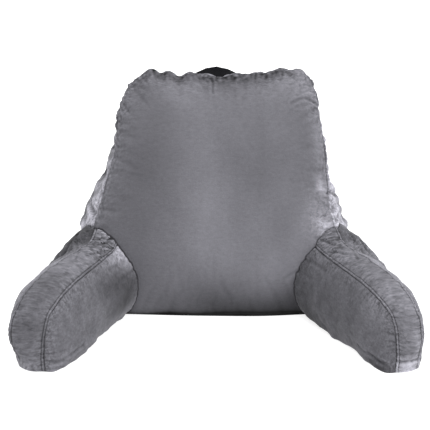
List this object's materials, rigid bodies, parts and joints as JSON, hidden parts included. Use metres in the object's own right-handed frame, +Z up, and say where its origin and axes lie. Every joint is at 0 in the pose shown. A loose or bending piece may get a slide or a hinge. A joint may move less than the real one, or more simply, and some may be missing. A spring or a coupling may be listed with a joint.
{
  "type": "reading pillow with arms",
  "caption": "Upholstered reading pillow: a stuffed wedge back rest with stuffed arms splayed forwards and a webbing carry handle on top.",
  "frame": {"origin": "centre of the whole pillow's footprint, on the surface it stands on", "axes": "+Z up, the pillow faces -Y, +X to the right as seen from the front"},
  "size_m": [0.7232, 0.572, 0.4797],
  "materials": {
    "velvet": "mid grey short-pile velvet with a pale sheen, matt",
    "webbing": "black woven polypropylene webbing, matt with a faint gloss"
  },
  "bodies": {
    "root": {"back_cushion": "velvet", "arm_left": "velvet", "arm_right": "velvet", "handle_strap": "webbing"}
  },
  "joints": []
}
